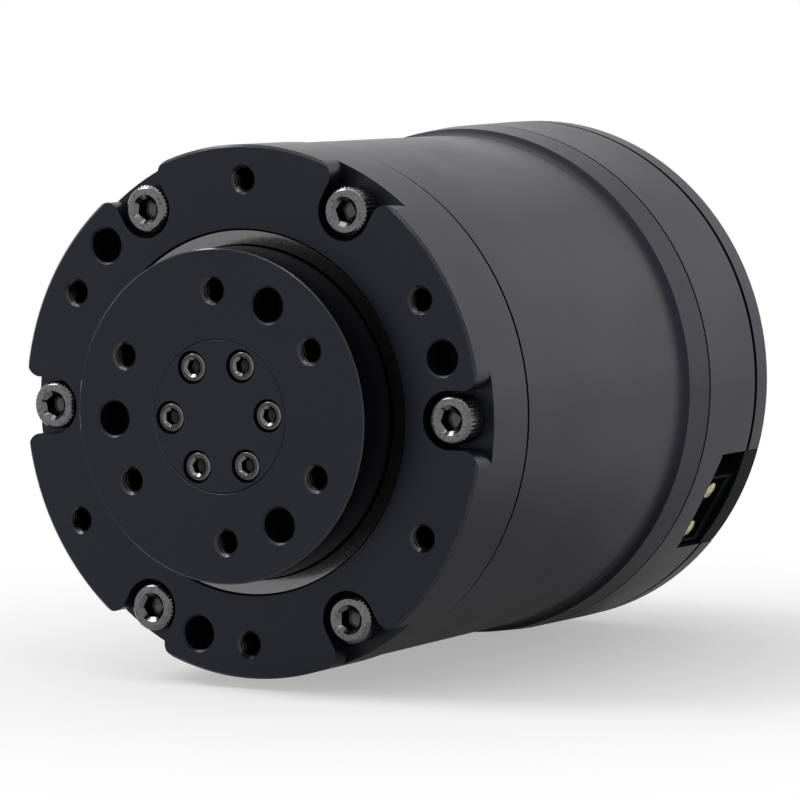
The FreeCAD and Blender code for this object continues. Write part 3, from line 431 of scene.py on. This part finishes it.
def bridge(mesh, rows, finishes):
    """Faces between each row of vertices and the next, each band with its material's number."""
    for near, far, finish in zip(rows, rows[1:], finishes):
        for k in range(len(near)):
            after = (k + 1) % len(near)
            face = mesh.faces.new((near[k], near[after], far[after], far[k]))
            face.material_index = finish


STEEL, EDGE, SOCKET, POINT = range(4)
KNURLS = 36
KNURL_WAVE = (0.0, 0.55, 1.0, 0.55)

# Shares of a screw head's radius
KNURL_DEPTH = 0.03
SHOULDER = 0.955
CROWN = 0.87
FLAT = 0.84

# Shares of its height, below its top
CROWN_DEPTH = 0.012
SHOULDER_DEPTH = 0.085
KNURL_START = 0.11
KNURL_END = 0.975
LEAD_IN_DEPTH = 0.14
SOCKET_DEPTH = 0.66
POINT_STEP = 0.03
POINT_DEPTH = 0.25

# Shares of the key's size across its corners and its flats, and of the shank's radius
LEAD_IN = 1.24
POINT_WIDTH = 0.80
TIP = 0.80
TIP_LENGTH = 0.25


def screw(mesh, matrix, head, height, key, shank, length, socket_turn):
    """Socket-head cap screw whose top is at the matrix's origin and which points along +Y."""
    steps = len(KNURL_WAVE) * KNURLS
    end = height + length
    floor = SOCKET_DEPTH * height
    knurled, socket = [], []
    for k in range(steps):
        knurled.append(head - KNURL_DEPTH * head * KNURL_WAVE[k % len(KNURL_WAVE)])
        beside = math.degrees(2 * math.pi * k / steps) % 60 - 30   # from a flat of the hexagon
        socket.append(key / 2 / math.cos(math.radians(beside)))
    profile = (
        (end, TIP * shank, STEEL),
        (end - TIP_LENGTH * shank, shank, STEEL),
        (height, shank, STEEL),
        (height, SHOULDER * head, STEEL),
        (KNURL_END * height, knurled, STEEL),
        (KNURL_START * height, knurled, EDGE),
        (SHOULDER_DEPTH * height, SHOULDER * head, EDGE),
        (CROWN_DEPTH * height, CROWN * head, EDGE),
        (0.0, FLAT * head, STEEL),
        (0.0, LEAD_IN * key / math.sqrt(3), EDGE),
        (LEAD_IN_DEPTH * height, socket, SOCKET),
        (floor, socket, SOCKET),
        (floor + POINT_STEP * height, POINT_WIDTH * key / 2, POINT),
    )
    rows = []
    for depth, radius, _ in profile:
        radii = radius if isinstance(radius, list) else [radius] * steps
        rows.append(ring(mesh, matrix, depth, radii, math.radians(socket_turn)))
    bridge(mesh, rows, [finish for _, _, finish in profile])
    for row, depth, finish in ((rows[0], end, STEEL),
                               (rows[-1], floor + POINT_DEPTH * height, POINT)):
        centre = mesh.verts.new(matrix @ polar(0.0, 0.0, depth))
        for k in range(steps):
            mesh.faces.new((row[k], row[(k + 1) % steps], centre)).material_index = finish


def screw_set(name, node, body, metals, circle, top, sizes, turns, start=0.0, rear=False):
    """One object with a ring of equal screws, which stands for a CAD node."""
    mesh = bmesh.new()
    for k, turn in enumerate(turns):
        matrix = seat(circle, start + HOLE_STEP * k, top)
        if rear:
            matrix = matrix @ Matrix.Rotation(math.pi, 4, "Z")
        screw(mesh, matrix, *sizes, turn)
    made = finish_mesh(name, mesh, metals, body)
    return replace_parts(made, node)


# Screws: head radius, head height, key, shank radius, length
M4 = (3.5, 4.0, 3.0, 2.0, 20.0)
M25 = (2.19, 2.5, 2.0, 1.25)
# Slots for head, edge, socket and socket floor; the socket and its floor carry painted shade
bright = (bright_steel, bright_edge, painted_shade_socket_steel, painted_shade_point_steel)
# The dark screws' edges carry a painted highlight
dark = (dark_steel, dark_painted_highlight_edge, painted_shade_socket_steel, painted_shade_socket_steel)
screw_set("flange_screw_set", "flange_screws", "housing", bright,
          circle=33.5, top=0.1, sizes=M4, turns=(10, 50, 24, 38, 2, 29))
screw_set("cap_screw_set", "cap_screws", "output", dark,
          circle=8.2, top=-7.05, sizes=(*M25, 6.0), turns=(15, 40, 5, 28, 52, 33), start=2.7)
screw_set("cover_screw_set", "cover_screws", "housing", dark,
          circle=36.6, top=89.65, sizes=(*M25, 25.0), turns=(8, 31, 19, 44, 3, 56), rear=True)

THREAD_BORE = 1.66
THREAD_PITCH = 0.7
THREAD_START = 0.7
THREAD_END = 8.6
THREAD_STEPS = 36           # for each turn
THREAD_HEIGHT = 0.36        # shares of the pitch
THREAD_FOOT = 0.42
THREAD_CREST = 0.06
RUN_OUT = 4                 # the ridge rises and ends within a fourth of a turn


def thread(mesh, matrix):
    """Helical ridge on the wall of a tapped hole."""
    count = int((THREAD_END - THREAD_START) / THREAD_PITCH * THREAD_STEPS)
    rows = []
    for k in range(count + 1):
        turn = 2 * math.pi * k / THREAD_STEPS
        middle = THREAD_START + THREAD_PITCH * k / THREAD_STEPS
        rise = THREAD_HEIGHT * THREAD_PITCH * min(
            1.0, RUN_OUT * k / THREAD_STEPS, RUN_OUT * (count - k) / THREAD_STEPS)
        crest = THREAD_BORE - rise
        rows.append([
            mesh.verts.new(matrix @ polar(radius, turn, middle + shift * THREAD_PITCH))
            for radius, shift in ((THREAD_BORE, -THREAD_FOOT), (crest, -THREAD_CREST),
                                  (crest, THREAD_CREST), (THREAD_BORE, THREAD_FOOT))])
    for near, far in zip(rows, rows[1:]):
        for k in range(len(near) - 1):
            mesh.faces.new((near[k], near[k + 1], far[k + 1], far[k]))


for name, body, (circle, start, face) in (("flange_threads", "housing", FLANGE_TAPS),
                                          ("output_threads", "output", DISC_TAPS)):
    mesh = bmesh.new()
    for k in range(HOLES):
        thread(mesh, seat(circle, start + HOLE_STEP * k, face))
    finish_mesh(name, mesh, (painted_shade_thread_metal,), body, 60.0)


# Stage, light and camera

MIRRORED = ("Is Glossy Ray", "Is Transmission Ray")
MIDDLE = (0.0, 0.04, 0.0)
FLOOR_HEIGHT = -0.0401
FLOOR_CENTRE = 0.045
FLOOR_RADIUS = 3.0

# The floor fades into white: distances where that starts and ends, and the least share of white
TO_CAMERA = (0.02, 0.15, 0.40)
TO_MIRRORS = (0.04, 0.24, 0.08)


def looked_at(tree, *rays):
    """1 where a ray of the named kinds looks, else 0."""
    outputs = add_node(tree, "ShaderNodeLightPath").outputs
    total = outputs[rays[0]]
    for name in rays[1:]:
        total = add_math(tree, "ADD", total, outputs[name], use_clamp=True)
    return total


def faded(tree, distance, near, far, least):
    """Value that grows from the least one to 1 between two distances."""
    return add_range(tree, distance, near, far, least, 1.0, smooth=True)


def link_mix(tree, factor, first, second, output):
    """Link a mix of two shaders to a tree's output."""
    mix = add_node(tree, "ShaderNodeMixShader", factor, first.outputs[0], second.outputs[0])
    tree.links.new(mix.outputs[0], tree.nodes[output].inputs["Surface"])


def studio_world(ambient):
    """White backdrop to the eye, and a softer grey light on the object."""
    world = bpy.data.worlds.new("studio")
    bpy.context.scene.world = world
    world.use_nodes = True
    tree = world.node_tree
    light = tree.nodes["Background"]
    light.inputs["Color"].default_value = WHITE
    light.inputs["Strength"].default_value = ambient
    backdrop = add_node(tree, "ShaderNodeBackground", WHITE, 1.0)
    link_mix(tree, looked_at(tree, "Is Camera Ray", *MIRRORED), light, backdrop, "World Output")


def studio_floor():
    """Pale floor that fades into the white backdrop away from the object."""
    mesh = bpy.data.meshes.new("floor")
    maker = bmesh.new()
    bmesh.ops.create_circle(maker, cap_ends=True, segments=96, radius=FLOOR_RADIUS)
    maker.to_mesh(mesh)
    maker.free()
    floor = bpy.data.objects.new("floor", mesh)
    floor.location = (0.0, FLOOR_CENTRE, FLOOR_HEIGHT)
    bpy.context.scene.collection.objects.link(floor)
    material = bpy.data.materials.new("floor_pale")
    material.use_nodes = True
    tree = material.node_tree
    paint = tree.nodes["Principled BSDF"]
    paint.inputs["Base Color"].default_value = (0.86, 0.86, 0.86, 1.0)
    paint.inputs["Roughness"].default_value = 0.9
    paint.inputs["Specular IOR Level"].default_value = 0.1
    white = add_node(tree, "ShaderNodeEmission", WHITE, 1.0)
    place = add_node(tree, "ShaderNodeTexCoord").outputs["Object"]
    distance = add_node(tree, "ShaderNodeVectorMath", place, operation="LENGTH").outputs["Value"]
    seen = add_math(tree, "MULTIPLY", faded(tree, distance, *TO_CAMERA),
                    looked_at(tree, "Is Camera Ray"))
    mirrored = add_math(tree, "MULTIPLY", faded(tree, distance, *TO_MIRRORS),
                        looked_at(tree, *MIRRORED))
    link_mix(tree, add_math(tree, "ADD", seen, mirrored), paint, white, "Material Output")
    mesh.materials.append(material)


def softbox(name, place, size, power):
    """Rectangular area lamp that looks at the middle of the actuator."""
    lamp = bpy.data.lights.new(name, "AREA")
    lamp.shape = "RECTANGLE"
    lamp.size, lamp.size_y = size
    lamp.energy = power
    made = bpy.data.objects.new(name, lamp)
    made.location = place
    aim = Vector(MIDDLE) - Vector(place)
    made.rotation_euler = aim.to_track_quat("-Z", "Y").to_euler()
    bpy.context.scene.collection.objects.link(made)


studio_world(ambient=0.40)
studio_floor()
softbox("front_light", place=(-0.78, -0.28, 0.94), size=(0.62, 0.42), power=9.0)
softbox("edge_light", place=(-0.05, -0.33, 1.12), size=(1.8, 0.03), power=2.4)
softbox("rear_light", place=(0.72, 1.30, 0.42), size=(1.0, 0.9), power=1.2)

camera = bpy.data.cameras.new("camera")
camera.sensor_width = 36.0
camera.lens = 201.08
camera.clip_start = 0.05
camera.clip_end = 20.0
viewer = bpy.data.objects.new("camera", camera)
viewer.location = (0.34078, -0.54109, 0.05287)
viewer.rotation_euler = [math.radians(turn) for turn in (85.4132, 0.6168, 30.1669)]
bpy.context.scene.collection.objects.link(viewer)
bpy.context.scene.camera = viewer
bpy.context.scene.view_settings.view_transform = "Standard"
